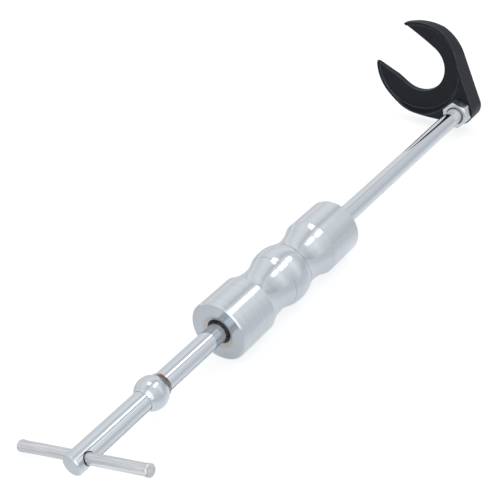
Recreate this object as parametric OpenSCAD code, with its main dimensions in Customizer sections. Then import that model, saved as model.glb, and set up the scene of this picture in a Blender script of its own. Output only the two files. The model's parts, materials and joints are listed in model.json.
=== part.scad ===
// Slide-hammer puller with a forged fork, lying on its hammer and one end of its cross bar.
// Millimetres, +Z up. The rod runs along +Y, from the cross bar at the back to the fork in front.
// Inside each module the rod's axis is the Y axis and the rod's rear end is at y = 0.

/* [Guide rod] */
// Diameter of the polished rod
rod_d = 16; // [12:0.5:18]
// Overall length of the rod, with its thread
rod_len = 586; // [480:1:700]
// Outer diameter of the thread at the fork end
thread_d = 15.8; // [11:0.1:15.9]
// Length of the thread
thread_len = 45.8; // [40:0.1:60]
// Chamfer at both ends of the rod
rod_chamfer = 1; // [0.3:0.1:1.5]

/* [Cross bar] */
// Diameter of the cross bar
bar_d = 8; // [6:0.5:9]
// Length of the cross bar
bar_len = 129; // [100:1:160]
// Distance from the rod's rear end to the cross bar's axis
bar_setback = 9.5; // [8:0.5:14]
// Diameter of the upset ends that keep the cross bar in its hole
bar_end_d = 8.6; // [8.4:0.1:11]
// Length of each upset end, with its taper
bar_end_len = 4; // [3:0.5:8]
// Length of the taper between the bar and its upset end
bar_end_taper = 1.5; // [0.5:0.5:2.5]
// Chamfer on the cross bar's end faces
bar_chamfer = 0.6; // [0.2:0.1:1]
// Depth of the chamfer round each mouth of the cross hole
cross_hole_chamfer = 1; // [0.2:0.1:1.4]

/* [Stop ball] */
// Diameter of the ball that the hammer strikes
ball_d = 25; // [22:0.5:30]
// Distance from the rod's rear end to the ball's centre
ball_setback = 78.3; // [60:0.1:100]
// Chamfer round the ball's bore on the cross bar's side
ball_bore_chamfer = 0.8; // [0.2:0.1:1.5]
// Height of the weld bead above the rod, where it meets the ball
weld_rise = 1.8; // [0.8:0.1:1.8]
// Length of the weld bead on the rod, from the ball's edge
weld_run = 3.1; // [1:0.1:5]

/* [Slide hammer] */
// Diameter of the hammer's two end cylinders
hammer_d = 49; // [40:0.5:60]
// Overall length of the hammer
hammer_len = 164.2; // [140:0.1:200]
// Distance from the rod's rear end to the hammer's rear face, at rest
hammer_setback = 154; // [130:1:200]
// Length of each end cylinder
hammer_end_len = 38.3; // [25:0.1:50]
// Chamfer on the outer edges of the hammer
hammer_chamfer = 1.2; // [0.5:0.1:3]
// Diameter of the round grip in the middle
grip_d = 49.1; // [42:0.1:60]
// Radius of the grip's crown, measured along the rod
grip_crown_r = 27.6; // [26:0.1:34]
// Diameter at each waist beside the grip
waist_d = 40.4; // [36:0.1:42]
// Distance from the middle of the grip to each waist
waist_offset = 25.3; // [24:0.1:28]
// Diameter of the wide bore at each mouth of the hammer
mouth_bore_d = 20.4; // [18:0.1:24]
// Depth of the wide bore at each mouth
mouth_bore_depth = 30; // [10:1:50]
// Diameter of the eased edge where the wide bore meets the end face
mouth_edge_d = 26; // [24:0.5:30]
// Depth of that eased edge
mouth_edge_depth = 1.2; // [0.5:0.1:2]

/* [Jam nut] */
// Width across the nut's flats
nut_flats = 24; // [22:0.5:30]
// Height of the nut
nut_height = 11.5; // [8:0.5:16]
// Height of the bevel that rounds the nut's corners
nut_bevel_height = 1.1; // [0.5:0.1:2]
// Diameter of the chamfer round the nut's thread
nut_mouth_d = 18.6; // [16.6:0.1:20]
// Turn of the nut about the rod
nut_turn_angle = 17; // [0:1:59]

/* [Fork lug] */
// Thickness of the lug, along the rod
lug_thickness = 22; // [18:0.5:30]
// Radius of the lug's round end about the rod
lug_r = 14.1; // [13.9:0.1:18]
// Gap between the rod's tip and the lug's front face
rod_tip_recess = 1.5; // [0:0.1:5]
// Chamfer at both ends of the lug's thread
lug_bore_chamfer = 1; // [0.3:0.1:1.5]
// Lift of the fork above the cross bar's low end, as seen along the rod
fork_to_bar_angle = 53.1; // [40:0.1:70]

/* [Fork arms] */
// Distance from the rod's axis to the centre of the mouth
mouth_reach = 61.7; // [58:0.1:75]
// Radius of the round bottom of the mouth
mouth_r = 26.7; // [20:0.1:28]
// Opening of each side of the mouth, away from parallel
mouth_flare_angle = 1.2; // [0:0.1:3]
// Distance from the rod's axis to the centre of the arms' outer curve
arm_reach = 62.2; // [61:0.1:76]
// Radius of the arms' outer curve
arm_r = 48.3; // [47:0.1:52]
// Radius of the rounded tips, seen along the rod
tip_r = 1.3; // [0.8:0.1:2]
// Distance from the rod's axis to where the shoulders leave the lug's rear face
shoulder_start = 14; // [11:1:20]
// Radius of the rounded crest with which each shoulder starts
shoulder_crest_r = 90; // [60:1:120]
// Steepest slope of the shoulders
shoulder_slope_angle = 14; // [12:0.5:19]
// Radius of the hollow with which each shoulder runs out on the arms
shoulder_root_r = 65; // [40:1:90]
// Drop of the arms' outer rear edge below the lug's rear face
shoulder_drop = 9.7; // [6:0.1:11]
// Distance from the rod's axis to where the front of the arms starts to taper
taper_start = 68; // [50:1:80]
// Thickness lost to the front taper at the tips
taper_drop = 7.8; // [5:0.1:8.6]

/* [Fork seat] */
// Radius of the stepped pocket round the mouth, at its floor
pocket_r = 45; // [42:0.1:45.2]
// Draft of the pocket's wall
pocket_draft_angle = 15; // [5:1:15]
// Depth of the pocket's floor at the mouth's edge, below the lug's rear face
seat_depth = 14; // [11:0.1:15]
// Slope of the coned floor, which falls towards the mouth
seat_cone_angle = 10.8; // [5:0.1:14]
// Thickness taken from the front of the mouth's edge
dish_depth = 2.3; // [1:0.1:4]
// Slope of the dished front round the mouth
dish_cone_angle = 6.5; // [3:0.1:9]

/* [Hidden] */
$fn = 96;

// Named clearances and the overrun of every cut
seat_gap = 0.02;
bar_gap = 0.1;
slide_gap = 0.1;
thread_gap = 0.05;
face_gap = 0.02;
blend_inset = 0.05;
overrun = 5;

// Radii
rod_r = rod_d / 2;
thread_r = thread_d / 2;
bar_r = bar_d / 2;
bar_end_r = bar_end_d / 2;
ball_r = ball_d / 2;
hammer_r = hammer_d / 2;
grip_r = grip_d / 2;
waist_r = waist_d / 2;
cross_hole_r = bar_r + bar_gap;
hammer_bore_r = rod_r + slide_gap;
thread_hole_r = thread_r + thread_gap;

// Stations along the rod
fork_front = rod_len + rod_tip_recess;
fork_rear = fork_front - lug_thickness;
nut_rear = fork_rear - face_gap - nut_height;
thread_start = rod_len - thread_len;
hammer_middle = hammer_setback + hammer_len / 2;

// Section of the hammer: the crown's circle and the waist's circle touch in one point
grip_half = hammer_len / 2 - hammer_end_len;
crown_axis_r = grip_r - grip_crown_r;
waist_rise = waist_r - crown_axis_r;
flank_r = (waist_offset * waist_offset + waist_rise * waist_rise - grip_crown_r * grip_crown_r)
    / (2 * (grip_crown_r - waist_rise));
crown_share = grip_crown_r / (grip_crown_r + flank_r);
crown_end = waist_offset * crown_share;
shoulder_run = grip_half - waist_offset;
shoulder_rise = hammer_r - waist_r;
shoulder_r = (shoulder_run * shoulder_run + shoulder_rise * shoulder_rise) / (2 * shoulder_rise);

// Outline of the fork: two lines touch the lug's round end and the arms' outer curve
wedge_angle = asin((arm_r - lug_r) / arm_reach);
nose_offset = mouth_r + tip_r;
lane_dir = [cos(mouth_flare_angle), sin(mouth_flare_angle)];
lane_normal = [-sin(mouth_flare_angle), cos(mouth_flare_angle)];
nose_from = [mouth_reach - arm_reach, 0] + nose_offset * lane_normal;
nose_dot = nose_from * lane_dir;
nose_run = sqrt(nose_dot * nose_dot - nose_from * nose_from + (arm_r - tip_r) * (arm_r - tip_r)) - nose_dot;
nose = [arm_reach, 0] + nose_from + nose_run * lane_dir;
nose_in = nose - tip_r * lane_normal;
nose_out = nose + tip_r * (nose - [arm_reach, 0]) / norm(nose - [arm_reach, 0]);
fork_reach = nose[0] + tip_r;

// Side view of a shoulder: a rounded crest, a straight slope and a hollow that ends on the arm
crest_run = shoulder_crest_r * sin(shoulder_slope_angle);
crest_fall = shoulder_crest_r * (1 - cos(shoulder_slope_angle));
root_run = shoulder_root_r * sin(shoulder_slope_angle);
root_fall = shoulder_root_r * (1 - cos(shoulder_slope_angle));
slope_fall = shoulder_drop - crest_fall - root_fall;
slope_run = slope_fall / tan(shoulder_slope_angle);
crest_end = shoulder_start + crest_run;
root_start = crest_end + slope_run;
root_end = root_start + root_run;

// Resting pose: the bar's low end lies on the surface that carries the hammer
bar_half = bar_len / 2;
bar_edge_r = bar_end_r - bar_chamfer;
bar_low_half = bar_half - bar_chamfer;
bar_tilt_angle = asin(hammer_r / norm([bar_low_half, bar_end_r])) - atan(bar_end_r / bar_low_half);
fork_lift_angle = fork_to_bar_angle - bar_tilt_angle;

// Origin: the middle of the part's footprint, on the surface that it lies on
left_extent = nose[0] * cos(fork_lift_angle) + nose[1] * sin(fork_lift_angle) + tip_r;
right_extent = bar_half * cos(bar_tilt_angle) + bar_edge_r * sin(bar_tilt_angle);
origin_shift = [(left_extent - right_extent) / 2, -fork_front / 2, hammer_r];

// Turns a solid that is drawn about Z so that it lies along the rod
module along_rod(start) {
    translate([0, start, 0]) rotate([-90, 0, 0]) children();
}

// Puts a sub-part that is drawn about the rod in its place over the origin
module on_surface() {
    translate(origin_shift) children();
}

// A cone or cylinder along the rod, from one station to another
module rod_cone(start, end, r_start, r_end) {
    along_rod(start) cylinder(h = end - start, r1 = r_start, r2 = r_end);
}

// Lays a solid that is drawn about Z along the cross bar, low end first
module along_bar() {
    translate([0, bar_setback, 0]) rotate([0, -bar_tilt_angle, 0]) rotate([0, 90, 0]) children();
}

// Swings the fork, drawn with its reach along +X, to its place beside the rod
module at_fork() {
    rotate([0, 180 + fork_lift_angle, 0]) children();
}

// Rod section: chamfered ends and the thread's smaller outer diameter
module shaft_section() {
    polygon([
        [0, 0],
        [rod_r - rod_chamfer, 0],
        [rod_r, rod_chamfer],
        [rod_r, thread_start],
        [thread_r, thread_start + rod_r - thread_r],
        [thread_r, rod_len - rod_chamfer],
        [thread_r - rod_chamfer, rod_len],
        [0, rod_len]
    ]);
}

// Chamfered mouth of the cross hole, on the low side of the rod
module cross_hole_mouth() {
    mouth_r_out = cross_hole_r + cross_hole_chamfer + overrun;
    translate([0, 0, rod_r - cross_hole_chamfer])
        cylinder(h = cross_hole_chamfer + overrun, r1 = cross_hole_r, r2 = mouth_r_out);
}

module shaft() {
    color([0.78, 0.80, 0.83]) on_surface() difference() {
        along_rod(0) rotate_extrude() shaft_section();
        along_bar() {
            cylinder(h = 2 * (rod_r + overrun), r = cross_hole_r, center = true);
            cross_hole_mouth();
            mirror([0, 0, 1]) cross_hole_mouth();
        }
    }
}

module stop_ball() {
    bore_r = rod_r + seat_gap;
    bore_half = sqrt(ball_r * ball_r - bore_r * bore_r);
    color([0.72, 0.75, 0.79]) on_surface() along_rod(ball_setback) rotate_extrude() difference() {
        intersection() {
            circle(r = ball_r);
            translate([bore_r, -ball_r]) square([ball_r, ball_d]);
        }
        polygon([
            [bore_r, -ball_r],
            [bore_r + ball_bore_chamfer + ball_r - bore_half, -ball_r],
            [bore_r, ball_bore_chamfer - bore_half]
        ]);
    }
}

// Bead of weld in the corner between the ball and the rod, on the hammer's side
module stop_weld() {
    weld_in = rod_r + seat_gap;
    weld_out = rod_r + weld_rise;
    corner = sqrt(ball_r * ball_r - rod_r * rod_r);
    weld_top = sqrt(ball_r * ball_r - weld_out * weld_out);
    color([0.30, 0.20, 0.15]) on_surface() along_rod(ball_setback) rotate_extrude() difference() {
        polygon([
            [weld_in, 0],
            [weld_out, 0],
            [weld_out, weld_top + weld_rise / 2],
            [weld_in, corner + weld_run]
        ]);
        circle(r = ball_r + seat_gap);
    }
}

// Half of the cross bar, from its middle to one upset end
module half_bar() {
    rotate_extrude() polygon([
        [0, 0],
        [bar_r, 0],
        [bar_r, bar_half - bar_end_len],
        [bar_end_r, bar_half - bar_end_len + bar_end_taper],
        [bar_end_r, bar_half - bar_chamfer],
        [bar_edge_r, bar_half],
        [0, bar_half]
    ]);
}

module t_bar() {
    color([0.55, 0.56, 0.58]) on_surface() along_bar() union() {
        half_bar();
        mirror([0, 0, 1]) half_bar();
    }
}

// What is cut from the hammer's section beside the grip, on one side of its middle
module waist_cut() {
    intersection() {
        square([grip_r + overrun, waist_offset]);
        translate([waist_r + flank_r, waist_offset]) circle(r = flank_r);
    }
    intersection() {
        translate([0, crown_end]) square([grip_r + overrun, grip_half]);
        translate([waist_r + shoulder_r, waist_offset]) circle(r = shoulder_r);
    }
}

// Outer section of the hammer, with its crowned grip between two waists
module hammer_section() {
    end_at = hammer_len / 2;
    face_r = hammer_r - hammer_chamfer;
    difference() {
        polygon([
            [0, -end_at],
            [face_r, -end_at],
            [hammer_r, hammer_chamfer - end_at],
            [hammer_r, -crown_end],
            [grip_r, -crown_end],
            [grip_r, crown_end],
            [hammer_r, crown_end],
            [hammer_r, end_at - hammer_chamfer],
            [face_r, end_at],
            [0, end_at]
        ]);
        difference() {
            translate([0, -crown_end]) square([grip_r + overrun, 2 * crown_end]);
            translate([crown_axis_r, 0]) circle(r = grip_crown_r);
        }
        waist_cut();
        mirror([0, 1]) waist_cut();
    }
}

// Wide bore and eased edge at one mouth of the hammer
module hammer_mouth() {
    mouth_r_in = mouth_bore_d / 2;
    mouth_r_out = mouth_edge_d / 2;
    translate([0, 0, hammer_len / 2 - mouth_bore_depth])
        cylinder(h = mouth_bore_depth + overrun, r = mouth_r_in);
    edge_slope = (mouth_r_out - mouth_r_in) / mouth_edge_depth;
    translate([0, 0, hammer_len / 2 - mouth_edge_depth])
        cylinder(h = mouth_edge_depth + overrun, r1 = mouth_r_in, r2 = mouth_r_out + overrun * edge_slope);
}

module slide_hammer() {
    color([0.76, 0.78, 0.82]) on_surface() along_rod(hammer_middle) difference() {
        rotate_extrude() hammer_section();
        cylinder(h = hammer_len + overrun, r = hammer_bore_r, center = true);
        hammer_mouth();
        mirror([0, 0, 1]) hammer_mouth();
    }
}

module jam_nut() {
    corner_r = nut_flats / 2 / cos(30);
    bevel_r = nut_flats / 2;
    bore_mouth = nut_mouth_d / 2 - thread_hole_r;
    mouth_run = bore_mouth + overrun;
    color([0.80, 0.82, 0.85]) on_surface() along_rod(nut_rear) difference() {
        intersection() {
            rotate([0, 0, nut_turn_angle]) cylinder(h = nut_height, r = corner_r, $fn = 6);
            rotate_extrude() polygon([
                [0, 0],
                [bevel_r, 0],
                [corner_r, nut_bevel_height],
                [corner_r, nut_height - nut_bevel_height],
                [bevel_r, nut_height],
                [0, nut_height]
            ]);
        }
        translate([0, 0, -overrun]) cylinder(h = nut_height + 2 * overrun, r = thread_hole_r);
        translate([0, 0, -overrun]) cylinder(h = mouth_run, r1 = thread_hole_r + mouth_run, r2 = thread_hole_r);
        translate([0, 0, nut_height - bore_mouth])
            cylinder(h = mouth_run, r1 = thread_hole_r, r2 = thread_hole_r + mouth_run);
    }
}

// Flat sides of the lug, which run from its round end to the arms' outer curve
module lug_sides() {
    touch = [-sin(wedge_angle), cos(wedge_angle)];
    lug_touch = (lug_r - blend_inset) * touch;
    arm_touch = [arm_reach, 0] + (arm_r - blend_inset) * touch;
    polygon([lug_touch, arm_touch, [arm_touch[0], -arm_touch[1]], [lug_touch[0], -lug_touch[1]]]);
}

// Straight part of the mouth, whose sides open towards the tips
module mouth_lane() {
    side = [mouth_reach, 0] + (mouth_r - blend_inset) * lane_normal;
    far = side + (fork_reach + overrun) * lane_dir;
    polygon([side, far, [far[0], -far[1]], [side[0], -side[1]]]);
}

// What is cut from one sharp tip before its round nose is added
module tip_cut() {
    run = (arm_r + overrun) * lane_dir;
    polygon([nose_in, nose_in + run, nose_out + run, nose_out]);
}

// Cuts a flat outline through the whole thickness of the fork
module through_cut() {
    translate([0, 0, -overrun]) linear_extrude(height = lug_thickness + 2 * overrun) children();
}

// The fork's outline at its full thickness, with the front face down
module fork_blank() {
    difference() {
        union() {
            cylinder(h = lug_thickness, r = lug_r);
            translate([arm_reach, 0, 0]) cylinder(h = lug_thickness, r = arm_r);
            linear_extrude(height = lug_thickness) lug_sides();
        }
        through_cut() translate([mouth_reach, 0]) circle(r = mouth_r);
        through_cut() mouth_lane();
        through_cut() tip_cut();
        through_cut() mirror([0, 1]) tip_cut();
    }
    translate([nose[0], nose[1], 0]) cylinder(h = lug_thickness, r = tip_r - blend_inset);
    translate([nose[0], -nose[1], 0]) cylinder(h = lug_thickness, r = tip_r - blend_inset);
}

// What is cut from the rear of the fork, beyond the lug's flat face
module shoulder_cut() {
    arm_rear = fork_rear + shoulder_drop;
    cut_rear = fork_rear - overrun;
    far = fork_reach + 2 * overrun;
    slope_lead = (crest_fall + overrun) / tan(shoulder_slope_angle);
    difference() {
        translate([shoulder_start, cut_rear]) square([crest_run, 2 * overrun + crest_fall]);
        translate([shoulder_start, fork_rear + shoulder_crest_r]) circle(r = shoulder_crest_r + blend_inset);
    }
    polygon([
        [crest_end - slope_lead, cut_rear],
        [root_start, cut_rear],
        [root_start, arm_rear - root_fall]
    ]);
    intersection() {
        translate([root_start - overrun, cut_rear]) square([root_run + 2 * overrun, 2 * overrun + shoulder_drop]);
        translate([root_end, arm_rear - shoulder_root_r]) circle(r = shoulder_root_r + blend_inset);
    }
    translate([root_end, cut_rear]) square([far - root_end, overrun + shoulder_drop]);
}

// Side view of the fork: flat lug, sloping shoulders, thin tapered arms
module fork_side() {
    back = -lug_r - overrun;
    far = fork_reach + overrun;
    taper_slope = taper_drop / (fork_reach - taper_start);
    difference() {
        polygon([
            [back, fork_rear],
            [far, fork_rear],
            [far, fork_front - taper_slope * (far - taper_start)],
            [taper_start, fork_front],
            [back, fork_front]
        ]);
        shoulder_cut();
    }
}

// Stepped pocket with a coned floor, in which the pulled part seats
module fork_pocket() {
    floor_in = fork_rear + seat_depth + mouth_r * tan(seat_cone_angle);
    floor_out = fork_rear + seat_depth - (pocket_r - mouth_r) * tan(seat_cone_angle);
    wall_top_r = pocket_r + (floor_out - fork_rear) * tan(pocket_draft_angle);
    translate([mouth_reach, 0, 0]) along_rod(0) rotate_extrude() polygon([
        [0, floor_in],
        [pocket_r, floor_out],
        [wall_top_r, fork_rear],
        [wall_top_r, fork_rear - overrun],
        [0, fork_rear - overrun]
    ]);
}

// Dished front round the mouth
module fork_dish() {
    dish_in = fork_front - dish_depth - mouth_r * tan(dish_cone_angle);
    dish_out_r = mouth_r + (dish_depth + overrun) / tan(dish_cone_angle);
    translate([mouth_reach, 0, 0]) along_rod(0) rotate_extrude() polygon([
        [0, dish_in],
        [dish_out_r, fork_front + overrun],
        [0, fork_front + overrun]
    ]);
}

module fork_bore() {
    chamfer_r = thread_hole_r + lug_bore_chamfer + overrun;
    rod_cone(fork_rear - overrun, fork_front + overrun, thread_hole_r, thread_hole_r);
    rod_cone(fork_rear - overrun, fork_rear + lug_bore_chamfer, chamfer_r, thread_hole_r);
    rod_cone(fork_front - lug_bore_chamfer, fork_front + overrun, thread_hole_r, chamfer_r);
}

module fork() {
    color([0.14, 0.15, 0.17]) on_surface() at_fork() difference() {
        intersection() {
            translate([0, fork_front, 0]) rotate([90, 0, 0]) fork_blank();
            linear_extrude(height = 2 * (arm_r + overrun), center = true) fork_side();
        }
        fork_pocket();
        fork_dish();
        fork_bore();
    }
}

shaft();
stop_ball();
stop_weld();
t_bar();
slide_hammer();
jam_nut();
fork();
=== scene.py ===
"""Slide-hammer seal puller: turned rod, ball, weight and nut, a plain cross bar and a forged fork."""

import json
import math

import bpy
from bpy.props import FloatProperty, FloatVectorProperty, PointerProperty
from mathutils import Euler, Matrix, Vector


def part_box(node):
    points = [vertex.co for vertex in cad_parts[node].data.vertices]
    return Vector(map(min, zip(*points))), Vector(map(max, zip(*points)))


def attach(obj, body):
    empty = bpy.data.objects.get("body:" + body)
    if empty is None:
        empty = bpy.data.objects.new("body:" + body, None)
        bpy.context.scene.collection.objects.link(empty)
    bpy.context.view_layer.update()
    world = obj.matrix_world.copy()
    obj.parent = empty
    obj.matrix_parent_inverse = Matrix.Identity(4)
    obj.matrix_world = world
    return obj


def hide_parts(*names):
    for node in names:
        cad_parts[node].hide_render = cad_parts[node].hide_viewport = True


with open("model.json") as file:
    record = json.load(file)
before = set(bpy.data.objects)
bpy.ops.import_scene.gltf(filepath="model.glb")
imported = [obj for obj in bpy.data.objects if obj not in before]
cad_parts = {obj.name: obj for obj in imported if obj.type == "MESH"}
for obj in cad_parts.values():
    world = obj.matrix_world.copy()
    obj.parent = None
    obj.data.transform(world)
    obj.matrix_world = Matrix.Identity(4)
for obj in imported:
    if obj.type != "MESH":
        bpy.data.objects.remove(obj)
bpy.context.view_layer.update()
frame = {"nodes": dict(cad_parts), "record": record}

bl_info = {
    "name": "Slide-hammer seal puller",
    "version": (1, 0, 0),
    "blender": (4, 5, 0),
    "location": "3D View > Sidebar > Puller",
    "description": "Models, finishes and lights a slide-hammer seal puller round its CAD frame",
    "category": "Object",
}

MM = 0.001
ROD_LOW, ROD_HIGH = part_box("shaft")
AXIS_X = (ROD_LOW[0] + ROD_HIGH[0]) / 2
AXIS_Z = (ROD_LOW[2] + ROD_HIGH[2]) / 2
REAR = ROD_LOW[1]

# Facets in a full turn, and the distance under which two points count as one
ROUND_STEPS = 96
FINE_STEPS = 144
SMALL_STEPS = 72
DRILL_STEPS = 64
THREAD_STEPS = 48
CLOSE = 0.00001

# How far a cutting shape reaches past what it cuts
OVERRUN = 1.5 * MM
DRILL_OVERRUN = 4.0 * MM

# Camera, solved from the rod's taper and the circles in the photograph: place, near and far in
# metres, turn in degrees, lens and sensor in millimetres
CAMERA_PLACE = (0.382670, -0.556221, 0.453006)
CAMERA_TURN = (56.795999, 4.681010, 35.075615)
CAMERA_LENS = 68.69
CAMERA_SENSOR = 36.0
CAMERA_NEAR = 0.01
CAMERA_FAR = 60.0

# Stage, in metres and watts; a band of the room is (share of the half turn over the rod, brightness)
FLOOR_SIZE = 30.0
FLOOR_DROP = 0.3 * MM
LAMPS = (
    {"name": "far light", "place": (0.47, 0.76, 1.3), "width": 0.34, "depth": 0.66, "watts": 1.6},
    {"name": "near light", "place": (0.56, 0.12, 1.3), "width": 0.42, "depth": 0.34, "watts": 1.0},
    {"name": "left light", "place": (-0.28, -0.02, 1.3), "width": 0.46, "depth": 0.42, "watts": 1.2},
)
ROOM_BANDS = (
    (0.0, 1.0), (0.13, 0.88), (0.28, 1.04), (0.40, 0.96), (0.47, 0.74), (0.51, 0.80), (0.54, 0.98),
    (0.76, 0.98), (0.87, 0.86), (1.0, 0.78),
)
WHITE = (1.0, 1.0, 1.0, 1.0)


def length(name, description, millimetres):
    """A length property, written here in millimetres and kept in metres."""
    return FloatProperty(name=name, description=description, default=millimetres * MM, min=0.0,
                         max=1.0, precision=5, unit="LENGTH", subtype="DISTANCE")


def angle(name, description, degrees):
    """An angle property, written here in degrees and kept in radians."""
    return FloatProperty(name=name, description=description, default=math.radians(degrees),
                         unit="ROTATION", subtype="ANGLE")


def tint(name, description, rgb):
    """A colour property without alpha."""
    return FloatVectorProperty(name=name, description=description, default=rgb, size=3, min=0.0,
                               max=1.0, subtype="COLOR")


class RodSizes(bpy.types.PropertyGroup):
    """Sizes of the guide rod, its thread and the cross bar in its rear end."""

    radius: length("Rod radius", "Radius of the polished rod", 8.0)
    end_chamfer: length("End chamfer", "Chamfer at the rod's rear end", 1.0)
    edge_ease: length("Edge ease", "Rounding of the rod's edges", 0.18)
    neck_start: length("Neck start", "Distance from the rear end to the plain neck", 540.2)
    neck_step: length("Neck step", "Half the length of the step down to the neck", 0.3)
    thread_start: length("Thread start", "Distance from the rear end to the thread", 555.6)
    thread_radius: length("Thread radius", "Outer radius of the thread and of the neck", 7.9)
    thread_pitch: length("Thread pitch", "Distance from one turn of the thread to the next", 2.0)
    thread_depth: length("Thread depth", "Depth of the thread's groove", 1.15)
    thread_crest: length("Thread crest", "Height of the rounding on the thread's crest", 0.12)
    thread_lead: length("Thread lead", "Length of the bevel from the neck to the thread's core", 0.6)
    thread_trim: length("Thread trim", "Distance from the thread's start to where it is cut flat", 0.9)
    core_overlap: length("Core overlap", "Length of the rod's own core under the thread", 1.5)
    rod_length: length("Rod length", "Length of the rod with its thread", 586.0)
    hole_clearance: length("Hole clearance", "Gap round the cross bar in its hole", 0.1)
    hole_ease: length("Hole ease", "Rounding on the rim of the cross hole", 0.9)
    bar_radius: length("Bar radius", "Radius of the cross bar", 4.0)
    bar_length: length("Bar length", "Length of the cross bar", 129.0)
    bar_end_radius: length("Bar end radius", "Radius of the bar's upset ends", 4.3)
    bar_end_length: length("Bar end length", "Length of each upset end with its taper", 4.0)
    bar_end_chamfer: length("Bar end chamfer", "Chamfer at the bar's ends", 0.6)
    bar_taper: length("Bar taper", "Length of the straight taper up to an upset end", 1.1)
    bar_taper_end: length("Bar taper end", "Length of the taper with its rounded top", 1.8)
    bar_taper_drop: length("Bar taper drop", "Depth of the top of the straight taper", 0.08)
    bar_edge_ease: length("Bar edge ease", "Rounding of the bar's edges", 0.2)
    bar_setback: length("Bar setback", "Distance from the rear end to the cross bar", 9.5)
    bar_tilt: angle("Bar tilt", "Tilt of the cross bar above level", 18.641722)


class StopSizes(bpy.types.PropertyGroup):
    """Sizes of the stop ball and of the weld that holds it."""

    radius: length("Ball radius", "Radius of the stop ball", 12.5)
    setback: length("Ball setback", "Distance from the rear end to the ball's centre", 78.3)
    seat_gap: length("Seat gap", "Gap between the pieces that are welded together", 0.02)
    bore_chamfer: length("Bore chamfer", "Chamfer round the ball's bore at the back", 0.4)
    edge_ease: length("Edge ease", "Rounding of the ball's edges", 0.12)
    weld_rise: length("Weld rise", "Height of the bead above the rod", 1.25)
    weld_run: length("Weld run", "Length of the bead on the rod from the ball's edge", 2.6)
    weld_bulge: length("Weld bulge", "Swelling of the bead's surface", 0.21)
    ripple_size: length("Ripple size", "Distance from one ripple of the bead to the next", 1.6)
    ripple_height: length("Ripple height", "Height of the ripples on the bead", 0.45)


class HammerSizes(bpy.types.PropertyGroup):
    """Sizes of the sliding weight."""

    radius: length("End radius", "Radius of the two end cylinders", 24.5)
    weight_length: length("Length", "Overall length of the weight", 164.2)
    setback: length("Setback", "Distance from the rod's rear end to the weight", 154.0)
    end_length: length("End length", "Length of each end cylinder", 38.3)
    grip_radius: length("Grip radius", "Largest radius of the crowned grip", 24.55)
    crown_radius: length("Crown radius", "Radius of the crown along the rod", 30.0)
    crease_offset: length("Crease offset", "Distance from the grip's middle to the crown's edge", 10.6)
    crease_depth: length("Crease depth", "Depth of the fine line that the tool leaves there", 0.3)
    crease_floor: length("Crease floor", "Distance from the crown's edge to the line's floor", 0.2)
    crease_width: length("Crease width", "Width of the fine line", 0.5)
    crease_step: length("Crease step", "How much lower the waist begins than the crown ends", 0.15)
    waist_radius: length("Waist radius", "Radius at each waist", 20.2)
    waist_offset: length("Waist offset", "Distance from the grip's middle to a waist", 23.6)
    edge_chamfer: length("Edge chamfer", "Chamfer on the outer edges", 1.2)
    edge_ease: length("Edge ease", "Rounding of the weight's edges", 0.35)
    mouth_radius: length("Mouth radius", "Radius of the wide bore at each end", 10.2)
    mouth_depth: length("Mouth depth", "Depth of the wide bore at each end", 30.0)
    mouth_edge_radius: length("Mouth edge radius", "Radius of the eased edge of the bore", 13.0)
    mouth_edge_depth: length("Mouth edge depth", "Depth of that eased edge", 1.2)
    bore_radius: length("Bore radius", "Radius of the guide bore in the middle", 8.1)


class NutSizes(bpy.types.PropertyGroup):
    """Sizes of the jam nut."""

    flats: length("Width across flats", "Width of the nut across its flats", 24.0)
    height: length("Height", "Height of the nut", 11.5)
    setback: length("Setback", "Distance from the rod's rear end to the nut", 553.98)
    bevel_height: length("Bevel height", "Height of the bevel on the corners", 1.1)
    bevel_inset: length("Bevel inset", "Distance from the flats to where the bevel begins", 0.25)
    corner_round: length("Corner round", "Width of the rounding on the upright corners", 0.7)
    edge_ease: length("Edge ease", "Rounding of the nut's other edges", 0.2)
    mouth_radius: length("Mouth radius", "Radius of the chamfer round the thread", 9.3)
    bore_radius: length("Bore radius", "Radius of the nut's bore", 7.95)
    turn: angle("Turn", "Turn of the nut about the rod", 17.0)


class ForkSizes(bpy.types.PropertyGroup):
    """How the forging is rounded."""

    edge_radius: length("Edge radius", "Radius that the dies leave on the forging's edges", 0.5)
    facet: length("Facet", "Length under which facets at the tips are merged", 0.3)
    flatness: angle("Flatness", "Turn under which neighbouring faces become one", 0.05)


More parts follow.
